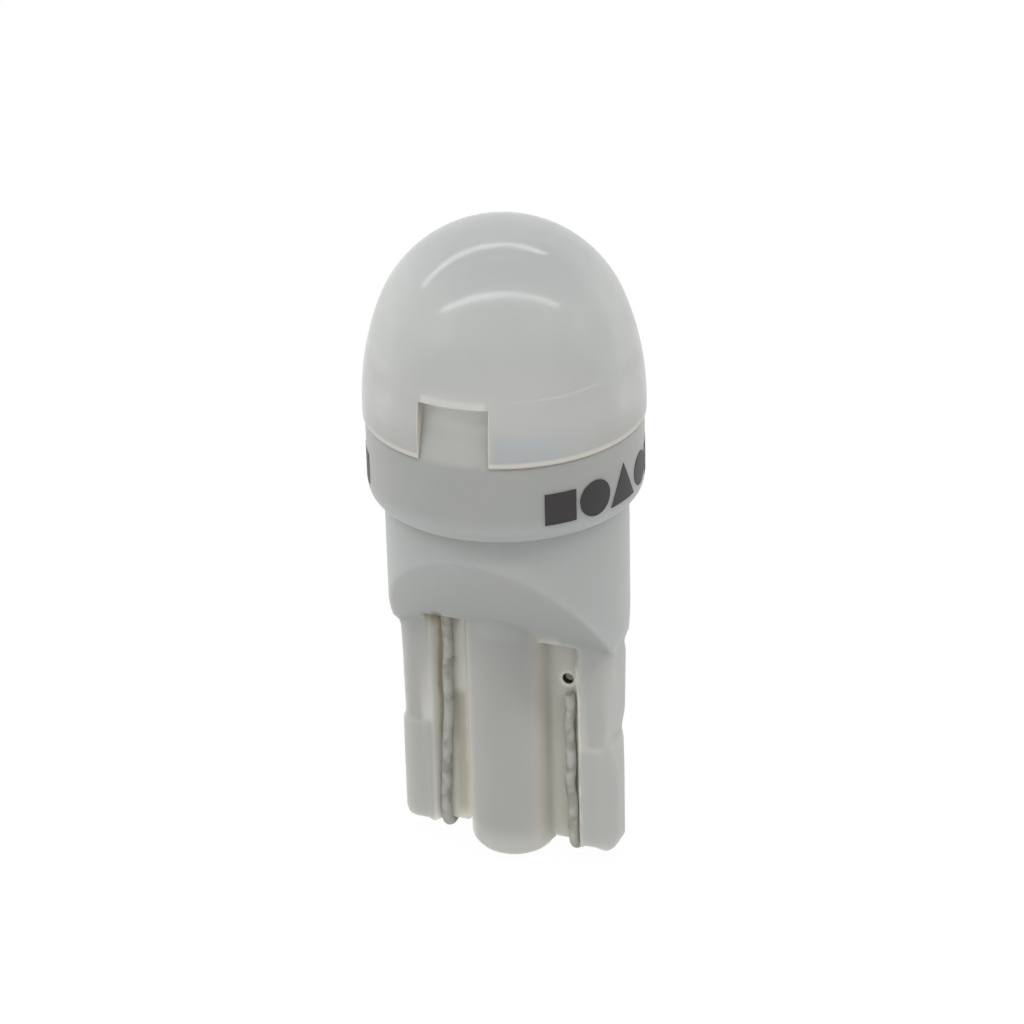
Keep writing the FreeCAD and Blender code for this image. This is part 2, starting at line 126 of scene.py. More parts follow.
# The housing's colours as they show on screen, where a pair is the two ends of a cloudy tint
BLADE_TINTS = ((166, 168, 166), (172, 170, 165))
NECK_TINTS = ((163, 168, 167), (168, 168, 165))
# The collar's pair is darker than the blade's and the neck's: painted shade
COLLAR_PAINTED_SHADE_TINTS = ((155, 159, 158), (161, 160, 157))
# The blade's tip is painted lighter: painted light
TIP_PAINTED_LIGHT = (192, 191, 186)
# The tongues are painted lighter, most towards their ends, as painted light where the notches shade them
TONGUE_PAINTED_LIGHT = (166, 167, 163)
TONGUE_END_PAINTED_LIGHT = (208, 208, 203)
# The grooves' pale colours are painted light
LEFT_GROOVE_PAINTED_LIGHT = (209, 208, 201)
RIGHT_GROOVE_PAINTED_LIGHT = (184, 183, 175)
HOLE_RIM_SHADE = (214, 212, 204)
# Painted shade inside the tail holes
HOLE_PAINTED_SHADE = (22, 20, 18)

# Where those colours come and go, in millimetres up, across, deep or from a tail hole's middle
TIP_FADE = (0.2, 1.6)
TIP_SHARE = 0.6
NECK_FADE = (8.5, 11.0)
COLLAR_FADE = (16.9, 17.7)
TONGUE_FADE = (19.7, 20.1)
TONGUE_END_FADE = (20.9, 22.2)
GROOVE_DEPTH_FADE = (0.85, 1.03)
GROOVE_SIDE_FADE = (3.5, 3.8)
FLANK_DEPTH_FADE = (0.9, 1.5)
FLANK_SIDE_FADE = (2.4, 2.6)
GROOVE_END_FADE = (10.6, 11.1)
LEFT_TO_RIGHT = (-0.5, 0.5)
FRONT_FADE = (-0.2, 0.0)
HOLE_RIM_FADE = (HOLE_RADIUS * 1.6, HOLE_RADIUS * 2.2)
HOLE_RIM_SHARE = 0.6
HOLE_FADE = (HOLE_RADIUS * 1.1, HOLE_RADIUS * 1.3)

# Across times depth, in square millimetres, is below zero in the two quarters that have a tail hole
HOLE_QUARTERS = (-0.3, -0.1)

# Stains, painted shade and painted light on the housing's front: place across, half width, low and high
# ends, strength, colour
STAINS_AND_PAINTED_LIGHT = (
    # A tan stain left of the left wire
    (-2.9, 0.14, 1.0, 10.6, 0.65, (168, 153, 114)),
    # Painted shade, tinted tan, where the left groove runs under the shoulder
    (-2.95, 0.4, 10.2, 10.95, 0.7, (150, 118, 70)),
    (-2.58, 0.3, 10.6, 11.1, 0.8, (70, 62, 50)),
    (-2.2, 0.2, 10.0, 10.6, 0.5, (150, 126, 84)),
    # Tan stains down the grooves and on the rib's flank
    (-2.15, 0.3, 1.2, 6.9, 0.6, (158, 153, 128)),
    (1.62, 0.3, 1.2, 9.9, 0.2, (170, 162, 144)),
    (2.6, 0.55, 1.2, 7.6, 0.3, (162, 158, 138)),
    # Painted light on the right groove's floor beside its outer wall
    (3.1, 0.2, 1.0, 9.0, 0.7, (240, 238, 230)),
    # A grey darkening down the rib
    (0.0, 1.7, 1.4, 10.4, 0.35, (146, 147, 142)),
)
PATCH_WANDER = 0.3
PATCH_CORE = 0.3
PATCH_REACH = 1.2
PATCH_LOW_FADE = 0.4
PATCH_HIGH_FADE = 0.25

# The cap's colours, and where they come and go in millimetres. It is painted lighter low down and darker on
# its crown, as painted light and shade
CAP_LOW_TINTS = ((215, 217, 216), (219, 218, 214))
CAP_HIGH_TINTS = ((205, 208, 207), (209, 210, 206))
CAP_FADE = (21.5, 24.5)
CROWN_PAINTED_SHADE = (176, 178, 178)
CROWN_FADE = (24.6, 27.8)
CROWN_SHARE = 0.9
# A bluish painted shade low on the cap's right, over the collar's rim inside
RING_PAINTED_SHADE = (204, 212, 220)
RING_LEFT_FADE = (1.5, 1.8)
RING_RIGHT_FADE = (3.4, 4.4)
RING_TOP_FADE = (20.9, 21.5)
RING_SHARE = 0.45
# Painted highlight along the cap's cut edges, which are also less see-through
EDGE_PAINTED_HIGHLIGHT = (202, 198, 189)
RIM_FADE = (0.1, 0.38)
LIP_RISE = 0.1
LIP_FADE = (0.06, 0.34)
LIP_SHARE = 0.5
LIP_SIDE_FADE = (-0.2, -0.04)
NOTCH_SIDE_FADE = (0.01, 0.04)
NOTCH_SIDE_TOP = (NOTCH_TOP - 0.1, NOTCH_TOP + 0.05)

# The cap's see-through share away from its cut edges and at them, and its skin's patchy gloss
CLEARNESS = 0.5
EDGE_CLEARNESS = 0.1
SKIN_PATCHES = (0.35, 0.65)
SKIN_GLOSS = (0.02, 0.12)

# The wires' tints with where their blotches come in, and the marks' tints
WIRE_TINTS = ((168, 168, 162), (138, 138, 130))
WIRE_BLOTCHES = (0.4, 0.7)
MARK_TINTS = ((28, 25, 25), (36, 32, 32))

# Finishes of the solids that stay: name, two near colours, cloud size in millimetres, roughness, metal
# share and wearers
INNER_FINISHES = (
    ("board", (206, 208, 203), (214, 214, 208), 1.5, 0.5, 0.0, ("circuit_board",)),
    ("solder", (170, 171, 172), (196, 197, 198), 0.4, 0.3, 1.0, (
        "solder_joint_left", "solder_joint_right",
    )),
    # The LED package and phosphor are darker than their own colours: painted shade that shows through the
    # frosting
    ("package_plastic", (150, 152, 147), (158, 159, 153), 0.8, 0.55, 0.0, (
        "led_front_body", "led_back_body",
    )),
    ("phosphor", (148, 145, 116), (158, 155, 128), 0.3, 0.35, 0.0, (
        "led_front_phosphor", "led_back_phosphor",
    )),
    ("terminal_metal", (168, 168, 170), (192, 192, 192), 0.4, 0.35, 1.0, (
        "led_front_terminals", "led_back_terminals", "diode_leads",
        "resistor_ends", "capacitor_ends", "driver_chip_legs",
    )),
    ("chip_plastic", (40, 40, 42), (52, 51, 50), 0.5, 0.6, 0.0, (
        "rectifier_diode_1", "rectifier_diode_2", "rectifier_diode_3", "rectifier_diode_4",
        "driver_chip",
    )),
    ("resistor_body", (44, 44, 48), (56, 56, 60), 0.4, 0.4, 0.0, ("resistor_front", "resistor_back")),
    ("capacitor_body", (168, 140, 104), (180, 152, 116), 0.5, 0.5, 0.0, ("capacitor",)),
)

# The camera at the photograph's view, with angles in degrees and distances in millimetres, apart from
# its clip range, which is in metres
CAMERA_AZIMUTH = 21.98
CAMERA_ELEVATION = 27.23
CAMERA_ROLL = -1.52
CAMERA_DISTANCE = 148.7
CAMERA_TARGET_Z = 13.0
CAMERA_LENS = 130.02
CAMERA_SENSOR = 36.0
CAMERA_SHIFT = (0.00318, 0.04992)
CAMERA_CLIP = (0.01, 10.0)

# Strip lights: name, how far behind the part, left end, right end and width, all as shares of their
# height over the cap, and brightness. That height is in metres.
STRIP_HEIGHT = 0.6
STRIPS = (
    ("rear_strip", 0.58, -1.25, 0.72, 0.12, 11.0),
    ("front_strip", -0.42, -1.3, 1.2, 0.11, 14.0),
)

# The white surroundings as light on the part, and the floor with its half width in metres
SURROUNDINGS = 0.82
FLOOR_HALF = 3.0
FLOOR_GREY = 0.8
FLOOR_ROUGHNESS = 0.9
FLOOR_GLOW = 0.97


def colour(red, green, blue):
    """A colour given as it shows on screen, from 0 to 255, made linear by the usual screen curve."""
    def linear(level):
        share = level / 255
        if share <= 0.04045:
            return share / 12.92
        return ((share + 0.055) / 1.055) ** 2.4
    return (linear(red), linear(green), linear(blue), 1.0)


class Shader:
    """A material in the making: its node tree and its main shader."""

    def __init__(self, name):
        self.material = bpy.data.materials.new(name)
        self.material.use_nodes = True
        self.nodes = self.material.node_tree.nodes
        self.links = self.material.node_tree.links
        self.main = self.nodes["Principled BSDF"]

    def node(self, kind, **settings):
        made = self.nodes.new(kind)
        for key, value in settings.items():
            setattr(made, key, value)
        return made

    def give(self, socket, value):
        """Sets a socket to a plain value, or links another socket to it."""
        if isinstance(value, (int, float, tuple)):
            socket.default_value = value
        else:
            self.links.new(value, socket)

    def set(self, **values):
        """Sets or links the main shader's sockets, named with underscores for spaces."""
        for key, value in values.items():
            self.give(self.main.inputs[key.replace("_", " ")], value)

    def place(self):
        """The point on the object, in millimetres."""
        coordinates = self.node("ShaderNodeTexCoord")
        scale = self.node("ShaderNodeVectorMath", operation="SCALE")
        scale.inputs["Scale"].default_value = 1 / MM
        self.give(scale.inputs[0], coordinates.outputs["Object"])
        return scale.outputs[0]

    def split(self, place):
        made = self.node("ShaderNodeSeparateXYZ")
        self.give(made.inputs[0], place)
        return made.outputs["X"], made.outputs["Y"], made.outputs["Z"]

    def noise(self, place, size, detail):
        """Soft noise with features of about the given size in millimetres."""
        made = self.node("ShaderNodeTexNoise")
        made.inputs["Scale"].default_value = 1 / size
        made.inputs["Detail"].default_value = detail
        self.give(made.inputs["Vector"], place)
        return made.outputs["Fac"]

    def ramp(self, value, span, start, end):
        """Goes smoothly from one level to another over a span of the value."""
        made = self.node("ShaderNodeMapRange", interpolation_type="SMOOTHSTEP")
        levels = {"Value": value, "From Min": span[0], "From Max": span[1], "To Min": start, "To Max": end}
        for name, level in levels.items():
            self.give(made.inputs[name], level)
        return made.outputs["Result"]

    def rise(self, value, span, share=1.0):
        """Nothing below a span of the value, and the share above it."""
        return self.ramp(value, span, 0.0, share)

    def fall(self, value, span, share=1.0):
        """The share below a span of the value, and nothing above it."""
        return self.ramp(value, span, share, 0.0)

    def math(self, operation, *values):
        made = self.node("ShaderNodeMath", operation=operation)
        for socket, value in zip(made.inputs, values):
            self.give(socket, value)
        return made.outputs[0]

    def times(self, first, *others):
        """The product of several values."""
        for other in others:
            first = self.math("MULTIPLY", first, other)
        return first

    def mix(self, factor, first, second):
        """Mixes two colours, each a socket or a colour as it shows on screen."""
        made = self.node("ShaderNodeMix", data_type="RGBA")
        self.give(made.inputs[0], factor)
        sockets = [socket for socket in made.inputs if socket.type == "RGBA"]
        for socket, value in zip(sockets, (first, second)):
            self.give(socket, colour(*value) if isinstance(value, tuple) else value)
        return next(socket for socket in made.outputs if socket.type == "RGBA")

    def bump(self, height, strength, depth=0.02):
        """Surface relief from a height field, with its depth in millimetres."""
        made = self.node("ShaderNodeBump")
        made.inputs["Strength"].default_value = strength
        made.inputs["Distance"].default_value = depth * MM
        self.give(made.inputs["Height"], height)
        self.give(self.main.inputs["Normal"], made.outputs["Normal"])


def tone_with_painted_light_by_height(shader, place, height):
    """The moulding's cloudy tone, from the blade's tip up to the tongues, with painted shade on the collar
    and painted light on the tip and the tongues.
    """
    tint = shader.noise(place, size=2.2, detail=3)
    base = shader.mix(tint, *BLADE_TINTS)
    base = shader.mix(shader.rise(height, NECK_FADE), base, shader.mix(tint, *NECK_TINTS))
    # Painted shade, darker on the collar
    base = shader.mix(shader.rise(height, COLLAR_FADE), base, shader.mix(tint, *COLLAR_PAINTED_SHADE_TINTS))
    # Painted light, lighter towards the blade's tip
    base = shader.mix(shader.fall(height, TIP_FADE, TIP_SHARE), base, TIP_PAINTED_LIGHT)
    # Painted light on the tongues, most towards their ends
    base = shader.mix(shader.rise(height, TONGUE_FADE), base, TONGUE_PAINTED_LIGHT)
    return shader.mix(shader.rise(height, TONGUE_END_FADE), base, TONGUE_END_PAINTED_LIGHT)


def paint_light_in_grooves(shader, base, across, depth, height):
    """Lays painted light in the grooves and on the rib's flanks, where they are out of the light."""
    outward = shader.math("ABSOLUTE", across)
    forward = shader.math("ABSOLUTE", depth)
    in_groove = shader.times(shader.fall(forward, GROOVE_DEPTH_FADE), shader.fall(outward, GROOVE_SIDE_FADE))
    on_flank = shader.times(shader.fall(forward, FLANK_DEPTH_FADE), shader.fall(outward, FLANK_SIDE_FADE))
    either = shader.math("MAXIMUM", in_groove, on_flank)
    sheltered = shader.times(either, shader.fall(height, GROOVE_END_FADE))
    shade = shader.mix(shader.rise(across, LEFT_TO_RIGHT), LEFT_GROOVE_PAINTED_LIGHT, RIGHT_GROOVE_PAINTED_LIGHT)
    return shader.mix(sheltered, base, shade)


def shade_tail_holes(shader, base, across, depth, height):
    """Darkens the two tail holes with painted shade and pales the plastic round them."""
    aside = shader.math("SUBTRACT", shader.math("ABSOLUTE", across), WIRE_OFFSET)
    above = shader.math("SUBTRACT", height, HOLE_HEIGHT)
    reach = shader.math("SQRT", shader.math("ADD", shader.times(aside, aside), shader.times(above, above)))
    has_hole = shader.fall(shader.times(across, depth), HOLE_QUARTERS)
    rim = shader.times(shader.fall(reach, HOLE_RIM_FADE, HOLE_RIM_SHARE), has_hole)
    core = shader.times(shader.fall(reach, HOLE_FADE), has_hole)
    return shader.mix(core, shader.mix(rim, base, HOLE_RIM_SHADE), HOLE_PAINTED_SHADE)


def stain_and_paint_light_on_front(shader, base, place, across, depth, height):
    """Lays the stains, painted shade and painted light on the front, each wandering a little from side to
    side.
    """
    wander = shader.math(
        "MULTIPLY_ADD", shader.noise(place, size=0.8, detail=2), PATCH_WANDER, -PATCH_WANDER / 2,
    )
    on_front = shader.fall(depth, FRONT_FADE)
    for centre, half, low, high, strength, shade in STAINS_AND_PAINTED_LIGHT:
        off_centre = shader.math("ADD", shader.math("SUBTRACT", across, centre), wander)
        aside = shader.math("ABSOLUTE", off_centre)
        beside = shader.fall(aside, (half * PATCH_CORE, half * PATCH_REACH), strength)
        above = shader.rise(height, (low - PATCH_LOW_FADE, low + PATCH_LOW_FADE))
        below = shader.fall(height, (high - PATCH_HIGH_FADE, high + PATCH_HIGH_FADE))
        base = shader.mix(shader.times(beside, above, below, on_front), base, shade)
    return base


def housing_plastic():
    """White moulded plastic, satin and cloudy, with painted light and shade by height, in the grooves and in
    the tail holes, and a few stains by the wires.
    """
    shader = Shader("housing_plastic")
    place = shader.place()
    across, depth, height = shader.split(place)
    base = tone_with_painted_light_by_height(shader, place, height)
    base = paint_light_in_grooves(shader, base, across, depth, height)
    base = shade_tail_holes(shader, base, across, depth, height)
    base = stain_and_paint_light_on_front(shader, base, place, across, depth, height)
    shader.set(Base_Color=base, Roughness=0.42, IOR=1.49, Specular_IOR_Level=0.4)
    shader.set(Subsurface_Weight=0.85, Subsurface_Radius=(1.0, 1.0, 0.97), Subsurface_Scale=1.2 * MM)
    shader.bump(shader.noise(place, size=0.25, detail=2), strength=0.1)
    return shader.material


def cap_edges(shader, across, height):
    """Where the cap shows a cut edge: along its rim, over the notches and down their sides, which get a
    painted highlight.
    """
    from_side = shader.math("SUBTRACT", shader.math("ABSOLUTE", across), NOTCH_HALF)
    from_lip = shader.math("ABSOLUTE", shader.math("SUBTRACT", height, NOTCH_TOP + LIP_RISE))
    on_lip = shader.times(shader.fall(from_lip, LIP_FADE, LIP_SHARE), shader.fall(from_side, LIP_SIDE_FADE))
    on_rim = shader.fall(shader.math("SUBTRACT", height, COLLAR_TOP), RIM_FADE)
    on_side = shader.times(
        shader.fall(shader.math("ABSOLUTE", from_side), NOTCH_SIDE_FADE),
        shader.fall(height, NOTCH_SIDE_TOP),
    )
    return shader.math("MAXIMUM", shader.math("MAXIMUM", on_lip, on_rim), on_side)


def frosted_plastic():
    """Frosted diffuser: milky, dimly see-through, with a smooth outer skin, painted light and shade by
    height and over the inner ring, and painted highlights on its cut edges.
    """
    shader = Shader("frosted_plastic")
    place = shader.place()
    across, _, height = shader.split(place)
    tint = shader.noise(place, size=3.0, detail=2)
    low_base = shader.mix(tint, *CAP_LOW_TINTS)
    high_base = shader.mix(tint, *CAP_HIGH_TINTS)
    base = shader.mix(shader.rise(height, CAP_FADE), low_base, high_base)
    # Painted shade, darker over the crown
    base = shader.mix(shader.rise(height, CROWN_FADE, CROWN_SHARE), base, CROWN_PAINTED_SHADE)
    # Painted bluish shade low on the cap's right
    painted_ring_shade = shader.times(
        shader.rise(across, RING_LEFT_FADE),
        shader.fall(across, RING_RIGHT_FADE, RING_SHARE),
        shader.fall(height, RING_TOP_FADE),
    )
    base = shader.mix(painted_ring_shade, base, RING_PAINTED_SHADE)
    # Painted highlight on the cut edges
    edges = cap_edges(shader, across, height)
    base = shader.mix(edges, base, EDGE_PAINTED_HIGHLIGHT)
    clear = shader.ramp(edges, (0.0, 1.0), CLEARNESS, EDGE_CLEARNESS)
    gloss = shader.ramp(shader.noise(place, size=0.9, detail=2), SKIN_PATCHES, *SKIN_GLOSS)
    shader.set(Base_Color=base, Transmission_Weight=clear, Roughness=0.15, IOR=1.36, Specular_IOR_Level=0.0)
    shader.set(Coat_Weight=gloss, Coat_Roughness=0.1, Coat_IOR=1.5)
    return shader.material


def wire_metal():
    """Tinned wire, dulled, with soft dark worn blotches."""
    shader = Shader("wire_metal")
    place = shader.place()
    blotch = shader.rise(shader.noise(place, size=0.5, detail=3), WIRE_BLOTCHES)
    shader.set(Base_Color=shader.mix(blotch, *WIRE_TINTS), Metallic=0.25, Roughness=0.7)
    shader.bump(shader.noise(place, size=0.3, detail=2), strength=0.15)
    return shader.material


def plain(name, low, high, size, roughness, metallic=0.0):
    """A finish of two near colours, with fine relief."""
    shader = Shader(name)
    place = shader.place()
    base = shader.mix(shader.noise(place, size, detail=3), low, high)
    shader.set(Base_Color=base, Roughness=roughness, Metallic=metallic)
    shader.bump(shader.noise(place, size / 6, detail=2), strength=0.1)
    return shader.material


def mesh_object(name, mesh):
    made = bpy.data.objects.new(name, mesh)
    bpy.context.scene.collection.objects.link(made)
    return made


def mesh_from(bm, name):
    """Turns a bmesh into a mesh and frees it."""
    mesh = bpy.data.meshes.new(name)
    bm.to_mesh(mesh)
    bm.free()
    return mesh


def bridge(bm, ring, following):
    """Joins two rings of as many points with a band of faces."""
    for step in range(len(ring)):
        after = (step + 1) % len(ring)
        bm.faces.new((ring[step], ring[after], following[after], following[step]))


def apply_modifiers(piece):
    """Replaces a piece's mesh with what its modifiers make of it."""
    bpy.context.view_layer.update()
    graph = bpy.context.evaluated_depsgraph_get()
    finished = bpy.data.meshes.new_from_object(piece.evaluated_get(graph))
    piece.modifiers.clear()
    old = piece.data
    piece.data = finished
    bpy.data.meshes.remove(old)


def soft_step(value, low, high):
    """Rises smoothly from 0 to 1 between two values."""
    share = min(max((value - low) / (high - low), 0.0), 1.0)
    return share * share * (3 - 2 * share)


def settle(x, y, z):
    """Where a point of the moulding goes for its small moulded unevenness, all in millimetres."""
    reach = math.hypot(x, y)
    if z > BELOW_COLLAR and reach > COLLAR_SKIN[0]:
        grow = 1 + COLLAR_GROWTH * soft_step(reach, *COLLAR_SKIN) / reach
        x *= grow
        y *= grow
    if z > COLLAR_TOP and abs(y) > TONGUE_INNER_FACE:
        x += math.copysign(TONGUE_WIDENING * soft_step(abs(x), *TONGUE_SIDE), x)
        z += TONGUE_RISE * soft_step(z, *TONGUE_END)
    beside_shoulder = soft_step(z, *SIDE_START) * (1 - soft_step(z, *SIDE_END))
    x += SIDE_FULLNESS * soft_step(x, *SIDE_ACROSS) * beside_shoulder
    beside_rib = soft_step(abs(x), *RIB_SIDE)
    web = 1 - soft_step(abs(x), *WEB_SIDE)
    corner = soft_step(x, *CORNER_SIDE)
    drop = (BLADE_DROP + WEB_DROP * web + CORNER_DROP * corner) * (1 - soft_step(z, *BLADE_END))
    lift = RIB_LIFT * (1 - soft_step(z, *RIB_END))
    z += lift * (1 - beside_rib) - drop * beside_rib
    return x, y, z


def housing():
    """The moulding with softened edges, from a copy of the solid's mesh."""
    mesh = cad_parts["base_housing"].data.copy()
    mesh.materials.clear()
    piece = mesh_object("housing", mesh)
    weld = piece.modifiers.new("weld", "WELD")
    weld.merge_threshold = WELD_REACH * MM
    remesh = piece.modifiers.new("remesh", "REMESH")
    remesh.mode = "VOXEL"
    remesh.voxel_size = VOXEL * MM
    remesh.use_smooth_shade = True
    smooth = piece.modifiers.new("smooth", "SMOOTH")
    smooth.factor = SMOOTHING
    smooth.iterations = SMOOTHING_ROUNDS
    apply_modifiers(piece)
    for vertex in piece.data.vertices:
        vertex.co = Vector(settle(*(vertex.co / MM))) * MM
    piece.data.materials.append(housing_plastic())
    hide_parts("base_housing")
    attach(piece, "root")


def dome_profile(inset, start_z, steps):
    """Radius and height along the cap's outline, set in from its outer face, from a height to the top."""
    crown_radius = DOME_RADIUS - CROWN_TUCK
    widest_z = COLLAR_TOP + DOME_WIDEST_RISE
    height = DOME_TOP - widest_z
    side_radius = (DOME_RADIUS**2 + height**2 - 2 * height * crown_radius) / (2 * CROWN_TUCK)
    side_centre = Vector((DOME_RADIUS - side_radius, widest_z))
    crown_centre = Vector((0, DOME_TOP - crown_radius))
    joint_angle = math.atan2(crown_centre.y - side_centre.y, crown_centre.x - side_centre.x)
    start_angle = math.asin((start_z - widest_z) / (side_radius - inset))
    points = []
    for step in range(steps):
        angle = start_angle + (joint_angle - start_angle) * step / steps
        points.append(side_centre + Vector((math.cos(angle), math.sin(angle))) * (side_radius - inset))
    for step in range(steps + 1):
        angle = joint_angle + (math.pi / 2 - joint_angle) * step / steps
        points.append(crown_centre + Vector((math.cos(angle), math.sin(angle))) * (crown_radius - inset))
    return points


def lathe(name, outline, segments):
    """A closed outline of radius and height, turned about the centre line."""
    bm = bmesh.new()
    rings = []
    for radius, z in outline:
        if radius < ON_AXIS:
            rings.append([bm.verts.new((0, 0, z * MM))])
            continue
        ring = []
        for step in range(segments):
            angle = 2 * math.pi * step / segments
            ring.append(bm.verts.new((radius * MM * math.cos(angle), radius * MM * math.sin(angle), z * MM)))
        rings.append(ring)
    for ring, following in zip(rings, rings[1:] + rings[:1]):
        if len(ring) == len(following) == segments:
            bridge(bm, ring, following)
        elif len(ring) != len(following):
            hub = min(ring, following, key=len)[0]
            round_it = max(ring, following, key=len)
            for step, vertex in enumerate(round_it):
                bm.faces.new((vertex, round_it[(step + 1) % segments], hub))
    bmesh.ops.recalc_face_normals(bm, faces=bm.faces)
    return mesh_from(bm, name)


def block_mesh(name, low, high):
    """A plain box used only for cutting."""
    bm = bmesh.new()
    bmesh.ops.create_cube(bm, size=1.0)
    for vertex in bm.verts:
        for axis in range(3):
            middle = (low[axis] + high[axis]) / 2
            vertex.co[axis] = (middle + vertex.co[axis] * (high[axis] - low[axis])) * MM
    return mesh_from(bm, name)


def dome():
    """The frosted cap, with its rounded rim, wider bore and notches."""
    outer = dome_profile(0, COLLAR_TOP + DOME_RIM_RADIUS, OUTER_STEPS)
    inner = dome_profile(DOME_WALL, NOTCH_TOP, INNER_STEPS)
    rim = []
    for step in range(RIM_STEPS):
        angle = -math.pi / 2 * (1 - step / RIM_STEPS)
        rim.append(outer[0] + Vector((math.cos(angle) - 1, math.sin(angle))) * DOME_RIM_RADIUS)
    bore = [Vector((REBATE_RADIUS, NOTCH_TOP)), Vector((REBATE_RADIUS, COLLAR_TOP))]
    outline = rim + outer + list(reversed(inner)) + bore
    piece = mesh_object("dome", lathe("dome", outline, DOME_SEGMENTS))
    low = (-NOTCH_HALF, -2 * DOME_RADIUS, COLLAR_TOP - 1)
    high = (NOTCH_HALF, 2 * DOME_RADIUS, NOTCH_TOP)
    cutter = mesh_object("notch_cutter", block_mesh("notch_cutter", low, high))
    cut = piece.modifiers.new("notches", "BOOLEAN")
    cut.operation = "DIFFERENCE"
    cut.solver = "EXACT"
    cut.object = cutter
    apply_modifiers(piece)
    bpy.data.objects.remove(cutter)
    for polygon in piece.data.polygons:
        polygon.use_smooth = True
    piece.data.set_sharp_from_angle(angle=math.radians(SHARP_ANGLE))
    piece.data.materials.clear()
    piece.data.materials.append(frosted_plastic())
    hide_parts("dome_diffuser")
    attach(piece, "root")


def smooth_path(points, steps):
    """A curve through the points, which eases from one to the next."""
    path = []
    last = len(points) - 1
    for index in range(last):
        before = points[max(index - 1, 0)]
        start = points[index]
        end = points[index + 1]
        after = points[min(index + 2, last)]
        for step in range(steps):
            t = step / steps
            path.append(0.5 * (
                2 * start
                + (end - before) * t
                + (2 * before - 5 * start + 4 * end - after) * t * t
                + (3 * start - before - 3 * end + after) * t * t * t
            ))
    path.append(points[-1])
    return path


def tube(name, path, radius, segments):
    """A round bar along a path, closed and a little narrower at both ends."""
    bm = bmesh.new()
    rings = []
    last = len(path) - 1
    side = Vector((1, 0, 0))
    for index, point in enumerate(path):
        ahead = (path[min(index + 1, last)] - path[max(index - 1, 0)]).normalized()
        side = (side - ahead * side.dot(ahead)).normalized()
        other = ahead.cross(side)
        share = WIRE_END_SHARE if index in (0, last) else 1.0
        ring = []
        for step in range(segments):
            angle = 2 * math.pi * step / segments
            out = side * math.cos(angle) + other * math.sin(angle)
            ring.append(bm.verts.new((point + out * radius * share) * MM))
        rings.append(ring)
    for ring, following in zip(rings, rings[1:]):
        bridge(bm, ring, following)
    bm.faces.new(list(reversed(rings[0])))
    bm.faces.new(rings[-1])
    bmesh.ops.recalc_face_normals(bm, faces=bm.faces)
    mesh = mesh_from(bm, name)
    for polygon in mesh.polygons:
        polygon.use_smooth = len(polygon.vertices) == 4
    return mesh


def wire_path():
    """The left wire's centre line: down the front groove, round under the blade and up the back."""
    points = [Vector((-WIRE_OFFSET, -WIRE_Y, z)) for z in WIRE_RUN]
    for aside, z in WIRE_SWAY:
        points.append(Vector((-WIRE_OFFSET + aside, -WIRE_Y, z)))
    low_x = points[-1].x
    for step in range(HOOK_STEPS + 1):
        angle = math.pi * step / HOOK_STEPS
        points.append(Vector((low_x, -WIRE_Y * math.cos(angle), HOOK_CENTRE - WIRE_Y * math.sin(angle))))
    for aside, z in TAIL_SWAY:
        points.append(Vector((low_x + aside, WIRE_Y, z)))
    return smooth_path(points, CURVE_STEPS)


def wires():
    """Both contact wires as smooth bent tubes."""
    finish = wire_metal()
    path = wire_path()
    half_turn = Matrix.Rotation(math.pi, 3, "Z")
    for name, points in (("left", path), ("right", [half_turn @ point for point in path])):
        piece = mesh_object("wire_" + name, tube("wire_" + name, points, WIRE_RADIUS, WIRE_SEGMENTS))
        piece.data.materials.append(finish)
        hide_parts("contact_wire_" + name)
        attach(piece, "root")


def on_collar(spot, out):
    """The point at a distance round the collar and a height, and a distance out from its surface."""
    turn = spot.x / COLLAR_RADIUS
    radius = COLLAR_RADIUS + out
    return Vector((radius * math.sin(turn), -radius * math.cos(turn), spot.y)) * MM


def disc(centre, radius):
    """A round mark's outline, as points of distance round the collar and height."""
    turns = [2 * math.pi * step / DISC_STEPS for step in range(DISC_STEPS)]
    return [centre + Vector((math.cos(turn), math.sin(turn))) * radius for turn in turns]


def patch(centre, corners):
    """A straight-sided mark's outline round a middle point, with fine steps along its sides."""
    points = [centre + Vector(corner) for corner in corners]
    fine = []
    for start, end in zip(points, points[1:] + points[:1]):
        count = max(1, round((end - start).length / MARK_SIDE_STEP))
        fine += [start.lerp(end, step / count) for step in range(count)]
    return fine


def mark_mesh(outlines):
    """Thin patches laid on the collar, each filled from its outline to its middle."""
    bm = bmesh.new()
    for outline in outlines:
        middle = sum(outline, Vector((0, 0))) / len(outline)
        edges = []
        for out in MARK_LAYERS:
            rings = []
            for share in MARK_RINGS:
                rings.append([bm.verts.new(on_collar(middle.lerp(point, share), out)) for point in outline])
            for ring, following in zip(rings, rings[1:]):
                bridge(bm, ring, following)
            hub = bm.verts.new(on_collar(middle, out))
            for step, vertex in enumerate(rings[-1]):
                bm.faces.new((vertex, rings[-1][(step + 1) % len(outline)], hub))
            edges.append(rings[0])
        bridge(bm, *edges)
    bmesh.ops.recalc_face_normals(bm, faces=bm.faces)
    return mesh_from(bm, "collar_marks")


def collar_marks():
    """Plain dark patches round the collar's sides: squares, discs and a triangle."""
    outlines = []
    for angle, form in MARKS:
        centre = Vector((math.radians(angle) * COLLAR_RADIUS, MARK_HEIGHT))
        outline = patch if isinstance(form, tuple) else disc
        outlines.append(outline(centre, form))
    piece = mesh_object("collar_marks", mark_mesh(outlines))
    piece.data.materials.append(plain("mark_ink", *MARK_TINTS, size=0.4, roughness=0.5))
    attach(piece, "root")


